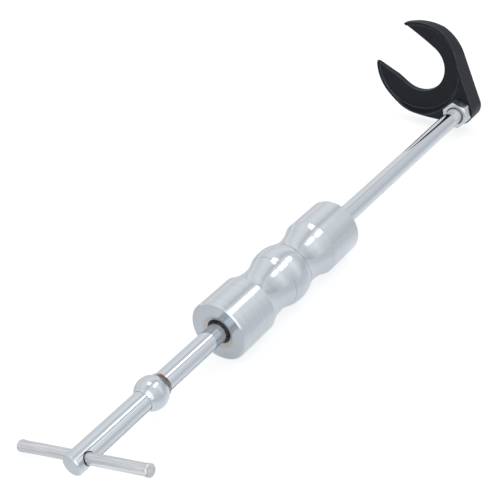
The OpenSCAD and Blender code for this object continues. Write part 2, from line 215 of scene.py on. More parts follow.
class Finishes(bpy.types.PropertyGroup):
    """Colours of the metals and of the stage."""

    rod: tint("Rod", "Polished rod", (0.60, 0.645, 0.69))
    neck: tint("Neck", "Dull neck of the rod behind the nut", (0.60, 0.62, 0.63))
    ball: tint("Ball", "Polished ball", (0.60, 0.645, 0.69))
    # Painted highlight: a near-white, dull ring on the rim of the ball's bore
    ball_rim_light: tint("Ball rim", "Dull rim of the ball's bore at the back", (0.9, 0.9, 0.9))
    weight: tint("Weight", "Turned and plated weight", (0.60, 0.645, 0.69))
    nut: tint("Nut", "Zinc-plated nut", (0.60, 0.63, 0.65))
    nut_bright_edge: tint("Nut edge", "Brighter edges of the nut", (0.86, 0.87, 0.88))
    bar: tint("Bar", "Dull drawn bar", (0.64, 0.655, 0.675))
    tan: tint("Heat tint", "Heat tint of the ball beside the weld", (0.55, 0.42, 0.29))
    straw: tint("Straw ring", "Faint ring round the bores of the weight", (0.47, 0.425, 0.385))
    bore: tint("Bore", "Dull wall of the weight's wide bores", (0.43, 0.415, 0.405))
    blush: tint("Blush", "Heat tint of the rod beside the weld", (0.74, 0.58, 0.53))
    bead: tint("Bead", "Browned top of the weld bead", (0.19, 0.12, 0.095))
    black: tint("Forging", "Black oxide on the forging", (0.0077, 0.0105, 0.0152))
    # Partly rubbed wear and partly a painted highlight along the forging's edges
    bright_edge: tint("Bright edge", "Brighter edge of the forging", (0.085, 0.097, 0.11))
    floor: tint("Floor", "Pale floor, as it lights the tool", (0.86, 0.86, 0.86))
    floor_seen: tint("Floor seen", "Floor under the white glow that the camera sees", (0.30, 0.30, 0.30))
    floor_mirrored: tint("Floor mirrored", "Floor that the metal mirrors", (0.75, 0.75, 0.75))


def select_all():
    """In edit mode, selects the whole mesh."""
    bpy.ops.mesh.select_all(action="SELECT")


def mode(name):
    """Goes to edit mode or back to object mode."""
    bpy.ops.object.mode_set(mode=name)


def one_vertex(name):
    """A new mesh object in edit mode that holds one selected vertex at the origin."""
    bpy.ops.object.select_all(action="DESELECT")
    bpy.ops.mesh.primitive_plane_add(size=MM, location=(0, 0, 0))
    piece = bpy.context.active_object
    piece.name = name
    piece.data.name = name
    mode("EDIT")
    bpy.ops.mesh.select_mode(type="VERT")
    select_all()
    bpy.ops.mesh.merge(type="CENTER")
    return piece


def trace(points):
    """Draws a chain of edges from the one vertex through the points, as (radius, height)."""
    place = Vector((0, 0, 0))
    for index, (radius, height) in enumerate(points):
        step = Vector((radius, 0, height)) - place
        if index == 0:
            bpy.ops.transform.translate(value=step)
        else:
            bpy.ops.mesh.extrude_region_move(TRANSFORM_OT_translate={"value": step})
        place += step


def turned(name, points, steps=ROUND_STEPS):
    """Turns a section, given as (radius, height), once round Z."""
    piece = one_vertex(name)
    trace(points)
    select_all()
    bpy.ops.mesh.spin(steps=steps, angle=math.tau, center=(0, 0, 0), axis=(0, 0, 1))
    select_all()
    bpy.ops.mesh.remove_doubles(threshold=CLOSE)
    bpy.ops.mesh.normals_make_consistent(inside=False)
    mode("OBJECT")
    return piece


def arc(centre, radius, start, end, count):
    """Points of an arc in a section, from one angle to another, in degrees."""
    turns = [math.radians(start + (end - start) * i / count) for i in range(count + 1)]
    return [(centre[0] + radius * math.cos(a), centre[1] + radius * math.sin(a)) for a in turns]


def below(points):
    """The points of a section's upper half, mirrored below the middle and in the order of a chain."""
    return [(radius, -height) for radius, height in reversed(points)]


def alone(piece):
    """Makes the piece the only selected and active object."""
    bpy.ops.object.select_all(action="DESELECT")
    piece.select_set(True)
    bpy.context.view_layer.objects.active = piece


def apply_modifiers(piece):
    """Applies what the piece has, in order."""
    alone(piece)
    for modifier in list(piece.modifiers):
        bpy.ops.object.modifier_apply(modifier=modifier.name)


def ease_edges(piece, width, segments, smallest_turn, clamp=True):
    """Rounds each edge that turns by more than some degrees; the attribute "edge" marks the rounding."""
    mesh = piece.data
    mesh.materials.clear()
    mesh.materials.append(None)
    mesh.materials.append(None)
    bevel = piece.modifiers.new("eased edges", "BEVEL")
    bevel.width = width
    bevel.segments = segments
    bevel.limit_method = "ANGLE"
    bevel.angle_limit = math.radians(smallest_turn)
    bevel.miter_outer = "MITER_ARC"
    bevel.use_clamp_overlap = clamp
    bevel.material = 1
    apply_modifiers(piece)
    marks = [1.0] * len(mesh.vertices)
    for face in mesh.polygons:
        if face.material_index == 0:
            for index in face.vertices:
                marks[index] = 0.0
        face.material_index = 0
    mesh.attributes.new("edge", "FLOAT", "POINT").data.foreach_set("value", marks)


def settle(piece, matrix):
    """Puts the piece in its place and leaves its object at the origin."""
    alone(piece)
    piece.matrix_world = matrix
    bpy.ops.object.transform_apply(location=True, rotation=True, scale=True)


def on_rod(station):
    """The place of something drawn round Z, with its zero at a distance from the rod's rear end."""
    return Matrix.Translation((AXIS_X, REAR + station, AXIS_Z)) @ Matrix.Rotation(-math.pi / 2, 4, "X")


def on_bar(sizes):
    """The place of something drawn round Z that lies along the cross bar, low end first."""
    return (Matrix.Translation((AXIS_X, REAR + sizes.bar_setback, AXIS_Z))
            @ Matrix.Rotation(-sizes.bar_tilt, 4, "Y") @ Matrix.Rotation(math.pi / 2, 4, "Y"))


def cut(piece, tool, operation="DIFFERENCE"):
    """Cuts the piece with a tool object, which is used up."""
    boolean = piece.modifiers.new("cut", "BOOLEAN")
    boolean.object = tool
    boolean.operation = operation
    boolean.solver = "EXACT"
    apply_modifiers(piece)
    bpy.data.objects.remove(tool, do_unlink=True)


def round_edges(piece, width, test):
    """Rounds the edges whose two ends pass the test."""
    alone(piece)
    mode("EDIT")
    bpy.ops.mesh.select_mode(type="EDGE")
    bpy.ops.mesh.select_all(action="DESELECT")
    mode("OBJECT")
    vertices = piece.data.vertices
    for edge in piece.data.edges:
        edge.select = test(*(vertices[index].co for index in edge.vertices))
    mode("EDIT")
    bpy.ops.mesh.bevel(offset=width, segments=4, profile=0.5, affect="EDGES")
    mode("OBJECT")


def shade(piece, smallest_turn):
    """Smooths the piece but for the edges that turn by more than some degrees."""
    alone(piece)
    bpy.ops.object.shade_smooth_by_angle(angle=math.radians(smallest_turn))


def hand_over(piece, node, finish, smallest_turn):
    """Smooths the piece, gives it its finish and lets it stand for its CAD node."""
    shade(piece, smallest_turn)
    piece.modifiers.new("flat faces", "WEIGHTED_NORMAL").keep_sharp = True
    apply_modifiers(piece)
    piece.data.materials.clear()
    piece.data.materials.append(finish)
    body = next(name for name, nodes in frame["record"]["behaviour"]["bodies"].items() if node in nodes)
    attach(piece, body)
    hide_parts(node)


def feed(tree, node, values):
    """Links sockets to the node's inputs, or sets the inputs to plain values."""
    for name, value in values.items():
        if isinstance(value, bpy.types.NodeSocket):
            tree.links.new(value, node.inputs[name])
        else:
            node.inputs[name].default_value = value


def add_node(tree, kind, values=None, **settings):
    """Adds a node, with settings as attributes and values for its input sockets."""
    node = tree.nodes.new(kind)
    for name, value in settings.items():
        setattr(node, name, value)
    feed(tree, node, values or {})
    return node


def new_group(name, inputs, outputs):
    """A shader group with its interface; returns the tree, its input node and its output node."""
    tree = bpy.data.node_groups.new(name, "ShaderNodeTree")
    for label, kind, value in inputs:
        socket = tree.interface.new_socket(name=label, in_out="INPUT", socket_type=kind)
        if value is not None:
            socket.default_value = value
    for label, kind in outputs:
        tree.interface.new_socket(name=label, in_out="OUTPUT", socket_type=kind)
    return tree, tree.nodes.new("NodeGroupInput"), tree.nodes.new("NodeGroupOutput")


def place_group(tree, name, values):
    """Places a shader group in a material, with values for its inputs."""
    return add_node(tree, "ShaderNodeGroup", values, node_tree=bpy.data.node_groups[name])


def maths(tree, operation, first, second=0.0, third=0.0, clamp=False):
    """A Math node's output."""
    return add_node(tree, "ShaderNodeMath", {0: first, 1: second, 2: third}, operation=operation,
                    use_clamp=clamp).outputs[0]


def times(tree, first, second):
    """The product of two values."""
    return maths(tree, "MULTIPLY", first, second)


def minus(tree, first, second):
    """The difference of two values."""
    return maths(tree, "SUBTRACT", first, second)


def apart(tree, first, second):
    """How far two values are apart."""
    return maths(tree, "ABSOLUTE", minus(tree, first, second))


def diagonal(tree, first, second):
    """The distance from a centre, from two places at right angles."""
    squares = maths(tree, "ADD", times(tree, first, first), times(tree, second, second))
    return maths(tree, "SQRT", squares)


def span(tree, value, low, high, out_low=0.0, out_high=1.0):
    """A value brought from one range to another and held inside it."""
    return add_node(tree, "ShaderNodeMapRange", {
        "Value": value, "From Min": low, "From Max": high, "To Min": out_low, "To Max": out_high,
    }).outputs["Result"]


def smudged(tree, hands, low, high):
    """A value that follows the smudges from handling, such as a roughness."""
    return span(tree, hands.outputs["Smudge"], 0.3, 0.7, low, high)


def split(tree, position):
    """The X, Y and Z of a position."""
    return add_node(tree, "ShaderNodeSeparateXYZ", {0: position}).outputs


def blend(tree, factor, first, second):
    """A colour mixed from two, each a socket or a red, green and blue."""
    first, second = (value if isinstance(value, bpy.types.NodeSocket) else (*value, 1.0)
                     for value in (first, second))
    return add_node(tree, "ShaderNodeMix", {0: factor, 6: first, 7: second}, data_type="RGBA").outputs[2]


def darker(rgb, factor):
    """The colour made darker, or lighter by a factor above one."""
    return tuple(min(1.0, part * factor) for part in rgb)


def mix_shaders(tree, factor, first, second):
    """A shader mixed from two others."""
    return add_node(tree, "ShaderNodeMixShader", {0: factor, 1: first.outputs[0], 2: second.outputs[0]})


def turning_marks_group():
    """Fine rings left by the lathe, on round and on flat faces; Y is the axis."""
    tree, given, made = new_group("Turning marks", [
        ("Position", "NodeSocketVector", None), ("Rings per metre", "NodeSocketFloat", 4000.0),
    ], [("Height", "NodeSocketFloat"), ("Tone", "NodeSocketFloat"), ("Radius", "NodeSocketFloat")])
    place = split(tree, given.outputs["Position"])
    radius = diagonal(tree, minus(tree, place["X"], AXIS_X), minus(tree, place["Z"], AXIS_Z))
    along = maths(tree, "ADD", place["Y"], radius)
    fine = add_node(tree, "ShaderNodeTexNoise", {
        "W": times(tree, along, given.outputs["Rings per metre"]), "Scale": 1.0, "Detail": 2.0,
        "Roughness": 0.6,
    }, noise_dimensions="1D")
    broad_rings = 260.0
    broad = add_node(tree, "ShaderNodeTexNoise", {
        "W": times(tree, along, broad_rings), "Scale": 1.0, "Detail": 3.0,
    }, noise_dimensions="1D")
    feed(tree, made, {"Height": fine.outputs[0], "Tone": broad.outputs[0], "Radius": radius})


def drawn_streaks_group():
    """Streaks along a bar; the long way of the pattern is Y of the position given."""
    tree, given, made = new_group("Drawn streaks", [
        ("Position", "NodeSocketVector", None), ("Streaks per metre", "NodeSocketFloat", 2500.0),
        ("Stretch", "NodeSocketFloat", 60.0),
    ], [("Height", "NodeSocketFloat"), ("Tone", "NodeSocketFloat")])
    squeeze = add_node(tree, "ShaderNodeCombineXYZ", {
        "X": 1.0, "Y": maths(tree, "DIVIDE", 1.0, given.outputs["Stretch"]), "Z": 1.0,
    })
    lined = add_node(tree, "ShaderNodeVectorMath", {
        0: given.outputs["Position"], 1: squeeze.outputs[0],
    }, operation="MULTIPLY")
    fine = add_node(tree, "ShaderNodeTexNoise", {
        "Vector": lined.outputs[0], "Scale": given.outputs["Streaks per metre"], "Detail": 3.0,
        "Roughness": 0.65,
    })
    broad_share = 0.12
    broad = add_node(tree, "ShaderNodeTexNoise", {
        "Vector": lined.outputs[0],
        "Scale": times(tree, given.outputs["Streaks per metre"], broad_share), "Detail": 4.0,
    })
    feed(tree, made, {"Height": fine.outputs[0], "Tone": broad.outputs[0]})


def handling_group():
    """Faint smudges and small marks from handling."""
    tree, given, made = new_group("Handling marks", [
        ("Position", "NodeSocketVector", None), ("Smudge scale", "NodeSocketFloat", 60.0),
        ("Mark scale", "NodeSocketFloat", 900.0),
    ], [("Smudge", "NodeSocketFloat"), ("Marks", "NodeSocketFloat")])
    smudge = add_node(tree, "ShaderNodeTexNoise", {
        "Vector": given.outputs["Position"], "Scale": given.outputs["Smudge scale"],
        "Detail": 4.0, "Roughness": 0.55, "Distortion": 0.6,
    })
    marks = add_node(tree, "ShaderNodeTexNoise", {
        "Vector": given.outputs["Position"], "Scale": given.outputs["Mark scale"],
        "Detail": 6.0, "Roughness": 0.7,
    })
    feed(tree, made, {"Smudge": smudge.outputs[0], "Marks": span(tree, marks.outputs[0], 0.60, 0.72)})


def bright_edges_group():
    """Mask of brighter edges, from the rounding that the mesh marks and a broken pattern."""
    tree, given, made = new_group("Bright edges", [
        ("Position", "NodeSocketVector", None), ("Edge", "NodeSocketFloat", 0.0),
    ], [("Mask", "NodeSocketFloat")])
    broken = add_node(tree, "ShaderNodeTexNoise", {
        "Vector": given.outputs["Position"], "Scale": 220.0, "Detail": 5.0, "Roughness": 0.6,
    })
    kept = span(tree, broken.outputs[0], 0.30, 0.62, 0.25, 1.0)
    feed(tree, made, {"Mask": maths(tree, "MULTIPLY", given.outputs["Edge"], kept, clamp=True)})


def new_finish(name, metallic, roughness):
    """A material with its Principled shader; returns material, tree, shader and object position."""
    material = bpy.data.materials.new(name)
    material.use_nodes = True
    tree = material.node_tree
    shader = tree.nodes["Principled BSDF"]
    feed(tree, shader, {"Metallic": metallic, "Roughness": roughness})
    position = tree.nodes.new("ShaderNodeTexCoord").outputs["Object"]
    return material, tree, shader, position


def edge_mark(tree):
    """The mark that the mesh carries on its rounded edges."""
    return add_node(tree, "ShaderNodeAttribute", attribute_name="edge").outputs["Fac"]


def emboss(tree, shader, height, strength, depth):
    """Feeds a height to the shader's normal."""
    bump = add_node(tree, "ShaderNodeBump", {"Height": height, "Strength": strength, "Distance": depth})
    feed(tree, shader, {"Normal": bump.outputs[0]})


def cross_hole_shade(tree, position, sizes):
    """Mask of painted shade in the hole that the cross bar slides in."""
    place = split(tree, position)
    out = times(tree, minus(tree, place["X"], AXIS_X), -math.sin(sizes.bar_tilt))
    up = times(tree, minus(tree, place["Z"], AXIS_Z), math.cos(sizes.bar_tilt))
    along = minus(tree, place["Y"], REAR + sizes.bar_setback)
    away = diagonal(tree, maths(tree, "ADD", out, up), along)
    rim = sizes.bar_radius + 0.8 * MM
    wall = sizes.bar_radius + 0.4 * MM
    return span(tree, away, rim, wall)


def rod_finish(colours, sizes, stop):
    """Polished bar with faint drawn lines, blushed beside the weld, dull on its neck and end face; painted
    shade on its end face and round its cross hole.
    """
    material, tree, shader, position = new_finish("polished rod", metallic=1.0, roughness=0.08)
    streaks = place_group(tree, "Drawn streaks", {"Position": position, "Streaks per metre": 1400.0})
    hands = place_group(tree, "Handling marks", {"Position": position})
    along = split(tree, position)["Y"]
    toe = REAR + stop.setback + 11.0 * MM
    start, full, fading, end = (toe + step * MM for step in (-6, -2, 1, 3.5))
    heat = times(tree, span(tree, along, end, fading), span(tree, along, start, full))
    heat = times(tree, heat, span(tree, hands.outputs["Smudge"], 0.35, 0.65))
    neck_from = REAR + sizes.neck_start - sizes.neck_step
    neck = span(tree, along, neck_from, neck_from + 0.8 * MM)
    # Painted shade: the end face is darkened as well as dulled
    end_shade_depth, end_shade_edge = 0.3 * MM, 0.1 * MM
    face = span(tree, along, REAR + end_shade_depth, REAR + end_shade_edge)
    brushed = blend(tree, span(tree, streaks.outputs["Tone"], 0.35, 0.65),
                    darker(colours.neck, 0.82), darker(colours.neck, 1.12))
    base = blend(tree, streaks.outputs["Tone"], darker(colours.rod, 0.93), darker(colours.rod, 1.05))
    base = blend(tree, times(tree, heat, 0.8), base, colours.blush)
    base = blend(tree, neck, base, brushed)
    base = blend(tree, face, base, darker(colours.rod, 0.82))
    # Painted shade in the cross hole, round the bar
    base = blend(tree, cross_hole_shade(tree, position, sizes), base, darker(colours.rod, 0.1))
    dull = maths(tree, "MAXIMUM", maths(tree, "MAXIMUM", heat, neck), face)
    polish = span(tree, hands.outputs["Smudge"], 0.35, 0.7, 0.05, 0.11)
    feed(tree, shader, {
        "Base Color": base, "Metallic": span(tree, neck, 0.0, 1.0, 1.0, 0.35),
        "Roughness": maths(tree, "ADD", polish, times(tree, dull, 0.22)),
    })
    emboss(tree, shader, streaks.outputs["Height"], strength=0.06, depth=0.02 * MM)
    return material


def thread_finish(colours):
    """Rolled thread, a little duller than the bar."""
    material, tree, shader, position = new_finish("rolled thread", metallic=1.0, roughness=0.28)
    hands = place_group(tree, "Handling marks", {"Position": position, "Smudge scale": 180.0})
    base = blend(tree, hands.outputs["Smudge"], darker(colours.rod, 0.85), darker(colours.rod, 1.1))
    feed(tree, shader, {"Base Color": base, "Roughness": smudged(tree, hands, 0.22, 0.36)})
    emboss(tree, shader, hands.outputs["Marks"], strength=0.1, depth=0.02 * MM)
    return material


def ball_finish(colours, stop, mouth):
    """Polished ball, tanned where it meets the weld, with a painted light ring, near white and dull, on the
    rim of its bore at the back.
    """
    material, tree, shader, position = new_finish("polished ball", metallic=1.0, roughness=0.1)
    hands = place_group(tree, "Handling marks", {"Position": position, "Smudge scale": 110.0})
    rings = place_group(tree, "Turning marks", {"Position": position, "Rings per metre": 2600.0})
    along = split(tree, position)["Y"]
    centre = REAR + stop.setback
    cool, hot = centre + 7.8 * MM, centre + 9.2 * MM
    heat = span(tree, along, cool, hot)
    bright, dull = mouth + 0.2 * MM, mouth + 0.05 * MM
    # Painted highlight: the rim of the bore at the back is made near white and dull
    light_rim_from, light_rim_to = centre - 8.4 * MM, centre - 8.8 * MM
    rim = times(tree, span(tree, rings.outputs["Radius"], bright, dull),
                span(tree, along, light_rim_from, light_rim_to))
    base = blend(tree, rings.outputs["Tone"], darker(colours.ball, 0.92), darker(colours.ball, 1.06))
    base = blend(tree, times(tree, heat, 0.5), base, colours.tan)
    base = blend(tree, rim, base, colours.ball_rim_light)
    feed(tree, shader, {
        "Base Color": base, "Metallic": span(tree, rim, 0.0, 1.0, 1.0, 0.25),
        "Roughness": maths(tree, "ADD", smudged(tree, hands, 0.06, 0.14),
                           times(tree, maths(tree, "MAXIMUM", heat, rim), 0.25)),
    })
    emboss(tree, shader, rings.outputs["Height"], strength=0.06, depth=0.02 * MM)
    return material


def bead_finish(colours):
    """Weld bead: browned on top, steel on the left and grey on the right."""
    material, tree, shader, position = new_finish("weld bead", metallic=1.0, roughness=0.4)
    hands = place_group(tree, "Handling marks", {
        "Position": position, "Smudge scale": 420.0, "Mark scale": 2400.0,
    })
    place = split(tree, position)
    top_from, top_full = AXIS_Z + 4 * MM, AXIS_Z + 6.5 * MM
    left_from, left_full = AXIS_X + 1 * MM, AXIS_X - 3 * MM
    browned = times(tree, span(tree, place["Z"], top_from, top_full),
                    span(tree, hands.outputs["Smudge"], 0.4, 0.6, 0.6, 1.0))
    base = blend(tree, span(tree, hands.outputs["Smudge"], 0.42, 0.62), darker(colours.rod, 0.26),
                 darker(colours.rod, 0.6))
    base = blend(tree, browned, base, colours.bead)
    base = blend(tree, span(tree, place["X"], left_from, left_full), base, darker(colours.rod, 0.86))
    feed(tree, shader, {"Base Color": base, "Roughness": smudged(tree, hands, 0.55, 0.32)})
    emboss(tree, shader, hands.outputs["Marks"], strength=0.35, depth=0.06 * MM)
    return material


def weight_finish(colours, hammer):
    """Turned and plated weight: lathe rings, dull bores, and painted shade in a fine dark line at each side
    of the grip and on the end faces.
    """
    material, tree, shader, position = new_finish("turned weight", metallic=1.0, roughness=0.2)
    rings = place_group(tree, "Turning marks", {"Position": position, "Rings per metre": 3800.0})
    hands = place_group(tree, "Handling marks", {"Position": position})
    radius = rings.outputs["Radius"]
    along = split(tree, position)["Y"]
    half = hammer.weight_length / 2
    middle = REAR + hammer.setback + half
    from_middle = apart(tree, along, middle)
    end_from, end_full = half - 3 * MM, half - 1 * MM
    shaded_face_from, shaded_face_full = half - 0.35 * MM, half - 0.1 * MM
    ring_outside, ring_inside = 15.2 * MM, 12.4 * MM
    wall_outside, wall_inside = hammer.mouth_radius + 0.4 * MM, hammer.mouth_radius - 0.1 * MM
    straw = times(tree, span(tree, radius, ring_outside, ring_inside),
                  span(tree, from_middle, end_from, end_full))
    wall = span(tree, radius, wall_outside, wall_inside)
    # Painted shade: a fine dark line in each crease beside the crown, darker on the front one
    line_edge, line_full = hammer.crease_width, hammer.crease_floor
    from_line = apart(tree, from_middle, hammer.crease_offset + hammer.crease_floor)
    waist_full = hammer.waist_radius + 1 * MM
    line = times(tree, span(tree, from_line, line_edge, line_full),
                 span(tree, radius, hammer.waist_radius, waist_full))
    rear_shade, front_shade = 0.2, 0.85
    line = times(tree, line, span(tree, along, middle - 1 * MM, middle + 1 * MM, rear_shade, front_shade))
    base = blend(tree, rings.outputs["Tone"], darker(colours.weight, 0.95), darker(colours.weight, 1.04))
    base = blend(tree, line, base, darker(colours.weight, 0.3))
    # Painted shade: the end faces are darkened
    base = blend(tree, span(tree, from_middle, shaded_face_from, shaded_face_full), base, darker(colours.weight, 0.83))
    cloud = span(tree, hands.outputs["Smudge"], 0.25, 0.75, 0.45, 1.0)
    base = blend(tree, times(tree, straw, cloud), base, colours.straw)
    base = blend(tree, wall, base, colours.bore)
    feed(tree, shader, {
        "Base Color": base, "Metallic": span(tree, wall, 0.0, 1.0, 1.0, 0.1),
        "Roughness": maths(tree, "ADD", smudged(tree, hands, 0.10, 0.19),
                           times(tree, maths(tree, "MAXIMUM", straw, wall), 0.25)),
    })
    emboss(tree, shader, rings.outputs["Height"], strength=0.10, depth=0.02 * MM)
    return material


def bar_finish(colours, sizes):
    """Dull drawn bar with long scratches; the pattern is turned to lie along the bar."""
    material, tree, shader, position = new_finish("drawn bar", metallic=1.0, roughness=0.36)
    turned_way = add_node(tree, "ShaderNodeMapping", {
        "Vector": position, "Rotation": Euler((0.0, sizes.bar_tilt, math.pi / 2)),
    })
    streaks = place_group(tree, "Drawn streaks", {
        "Position": turned_way.outputs[0], "Streaks per metre": 1100.0, "Stretch": 40.0,
    })
    hands = place_group(tree, "Handling marks", {"Position": position, "Smudge scale": 120.0})
    lines = maths(tree, "ADD", times(tree, streaks.outputs["Height"], 0.7),
                  times(tree, streaks.outputs["Tone"], 0.3))
    base = blend(tree, span(tree, lines, 0.40, 0.62), darker(colours.bar, 0.82), darker(colours.bar, 1.16))
    base = blend(tree, times(tree, hands.outputs["Marks"], 0.35), base, darker(colours.bar, 0.5))
    feed(tree, shader, {
        "Base Color": base, "Roughness": span(tree, streaks.outputs["Tone"], 0.3, 0.7, 0.28, 0.42),
    })
    emboss(tree, shader, streaks.outputs["Height"], strength=0.22, depth=0.03 * MM)
    return material


def nut_finish(colours):
    """Zinc-plated nut, brighter along its corners, with painted shade in the mouth of its thread."""
    material, tree, shader, position = new_finish("plated nut", metallic=1.0, roughness=0.24)
    hands = place_group(tree, "Handling marks", {"Position": position, "Smudge scale": 240.0})
    bright_edge = place_group(tree, "Bright edges", {"Position": position, "Edge": edge_mark(tree)})
    radius = place_group(tree, "Turning marks", {"Position": position}).outputs["Radius"]
    # Painted shade in the mouth of the thread
    mouth_shade_outside, mouth_shade_inside = 9.1 * MM, 8.6 * MM
    mouth = span(tree, radius, mouth_shade_outside, mouth_shade_inside)
    base = blend(tree, hands.outputs["Smudge"], darker(colours.nut, 0.9), darker(colours.nut, 1.08))
    base = blend(tree, mouth, base, darker(colours.nut, 0.2))
    base = blend(tree, times(tree, bright_edge.outputs["Mask"], 0.5), base, colours.nut_bright_edge)
    feed(tree, shader, {"Base Color": base, "Roughness": smudged(tree, hands, 0.24, 0.36)})
    emboss(tree, shader, hands.outputs["Marks"], strength=0.08, depth=0.03 * MM)
    return material


def forging_finish(colours):
    """Satin black over forged steel, greyer on its edges from rubbed wear and a painted highlight, with a
    fine grainy skin.
    """
    material, tree, shader, position = new_finish("black forging", metallic=0.0, roughness=0.42)
    hands = place_group(tree, "Handling marks", {
        "Position": position, "Smudge scale": 75.0, "Mark scale": 1500.0,
    })
    bright_edge = place_group(tree, "Bright edges", {"Position": position, "Edge": edge_mark(tree)})
    skin = add_node(tree, "ShaderNodeTexNoise", {
        "Vector": position, "Scale": 1300.0, "Detail": 5.0, "Roughness": 0.62,
    })
    dents = add_node(tree, "ShaderNodeTexVoronoi", {"Vector": position, "Scale": 260.0},
                     feature="SMOOTH_F1")
    base = blend(tree, hands.outputs["Smudge"], darker(colours.black, 0.75), darker(colours.black, 1.35))
    # Painted highlight along the edges, together with rubbed wear
    base = blend(tree, times(tree, bright_edge.outputs["Mask"], 0.8), base, colours.bright_edge)
    feed(tree, shader, {
        "Base Color": base, "Specular IOR Level": 0.2,
        "Roughness": minus(tree, smudged(tree, hands, 0.38, 0.52), times(tree, bright_edge.outputs["Mask"], 0.12)),
    })
    height = maths(tree, "ADD", times(tree, skin.outputs[0], 0.6), times(tree, dents.outputs[0], 0.8))
    emboss(tree, shader, height, strength=0.28, depth=0.08 * MM)
    return material


class PULLER_OT_groups(bpy.types.Operator):
    """Build the shader groups that the finishes share"""

    bl_idname = "puller.shader_groups"
    bl_label = "Shader groups"

    def execute(self, context):
        for build in (turning_marks_group, drawn_streaks_group, handling_group, bright_edges_group):
            build()
        return {"FINISHED"}


class PULLER_OT_rod(bpy.types.Operator):
    """Turn the guide rod, drill its cross hole and roll its thread"""

    bl_idname = "puller.guide_rod"
    bl_label = "Guide rod"

    def execute(self, context):
        scene = context.scene
        sizes = scene.puller_rod
        core = sizes.thread_radius - sizes.thread_depth
        rod = self.turn_rod(sizes, core)
        self.drill_hole(rod, sizes)
        thread = self.roll_thread(sizes, core)
        settle(thread, on_rod(0))
        finish = rod_finish(scene.puller_finishes, sizes, scene.puller_stop)
        hand_over(rod, "shaft", finish, smallest_turn=35)
        shade(thread, smallest_turn=30)
        thread.data.materials.clear()
        thread.data.materials.append(thread_finish(scene.puller_finishes))
        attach(thread, "rod")
        return {"FINISHED"}

    def turn_rod(self, sizes, core):
        """The rod as far as its thread, with the beginning of the thread's core."""
        neck, thread = sizes.neck_start, sizes.thread_start
        rod = turned("guide_rod", [
            (0, 0), (sizes.radius - sizes.end_chamfer, 0), (sizes.radius, sizes.end_chamfer),
            (sizes.radius, neck - sizes.neck_step), (sizes.thread_radius, neck + sizes.neck_step),
            (sizes.thread_radius, thread), (core, thread + sizes.thread_lead),
            (core, thread + sizes.core_overlap), (0, thread + sizes.core_overlap),
        ])
        ease_edges(rod, sizes.edge_ease, segments=2, smallest_turn=30)
        settle(rod, on_rod(0))
        return rod

    def drill_hole(self, rod, sizes):
        """Drills the cross hole and rounds its rim."""
        hole = sizes.bar_radius + sizes.hole_clearance
        reach = sizes.radius + DRILL_OVERRUN
        drill = turned("drill", [(0, -reach), (hole, -reach), (hole, reach), (0, reach)], DRILL_STEPS)
        settle(drill, on_bar(sizes))
        cut(rod, drill)
        inverse = on_bar(sizes).inverted()
        near_hole, near_surface = 0.03 * MM, 0.1 * MM

        def on_rim(point):
            local = inverse @ point
            from_bar = math.hypot(local.x, local.y)
            from_rod = math.hypot(point.x - AXIS_X, point.z - AXIS_Z)
            return abs(from_bar - hole) < near_hole and from_rod > sizes.radius - near_surface

        round_edges(rod, sizes.hole_ease, lambda first, second: on_rim(first) and on_rim(second))

    def roll_thread(self, sizes, core):
        """A true helical thread, cut to within 0.1 mm of flat; the cut leaves its front end open."""
        pitch = sizes.thread_pitch
        start = sizes.thread_start - pitch
        turns = math.ceil((sizes.rod_length - start) / pitch) + 1
        thread = one_vertex("rolled_thread")
        crest = sizes.thread_radius
        flank = crest - sizes.thread_crest
        pitch_shares = (
            (core, 0), (core, 1 / 8), (flank, 7 / 16), (crest, 8 / 16), (crest, 9 / 16),
            (flank, 10 / 16), (core, 15 / 16), (core, 1),
        )
        trace([(radius, start + pitch * share) for radius, share in pitch_shares])
        mode("OBJECT")
        screw = thread.modifiers.new("helix", "SCREW")
        screw.axis = "Z"
        screw.angle = math.tau
        screw.screw_offset = pitch
        screw.iterations = turns
        screw.steps = screw.render_steps = THREAD_STEPS
        screw.use_merge_vertices = True
        screw.merge_threshold = CLOSE
        apply_modifiers(thread)
        mode("EDIT")
        select_all()
        bpy.ops.mesh.remove_doubles(threshold=CLOSE)
        for height, outward in ((sizes.thread_start + sizes.thread_trim, -1), (sizes.rod_length, 1)):
            select_all()
            bpy.ops.mesh.bisect(plane_co=(0, 0, height), plane_no=(0, 0, outward), use_fill=True,
                                clear_outer=True)
        select_all()
        bpy.ops.mesh.normals_make_consistent(inside=False)
        mode("OBJECT")
        return thread


class PULLER_OT_bar(bpy.types.Operator):
    """Turn the cross bar with its two upset ends"""

    bl_idname = "puller.cross_bar"
    bl_label = "Cross bar"

    def execute(self, context):
        sizes = context.scene.puller_rod
        half = sizes.bar_length / 2
        swell = half - sizes.bar_end_length
        end, chamfer = sizes.bar_end_radius, sizes.bar_end_chamfer
        upper = [
            (sizes.bar_radius, swell), (end - sizes.bar_taper_drop, swell + sizes.bar_taper),
            (end, swell + sizes.bar_taper_end), (end, half - chamfer), (end - chamfer, half), (0, half),
        ]
        bar = turned("cross_bar", below(upper) + upper, SMALL_STEPS)
        ease_edges(bar, sizes.bar_edge_ease, segments=3, smallest_turn=20)
        settle(bar, on_bar(sizes))
        hand_over(bar, "t_bar", bar_finish(context.scene.puller_finishes, sizes), smallest_turn=35)
        return {"FINISHED"}


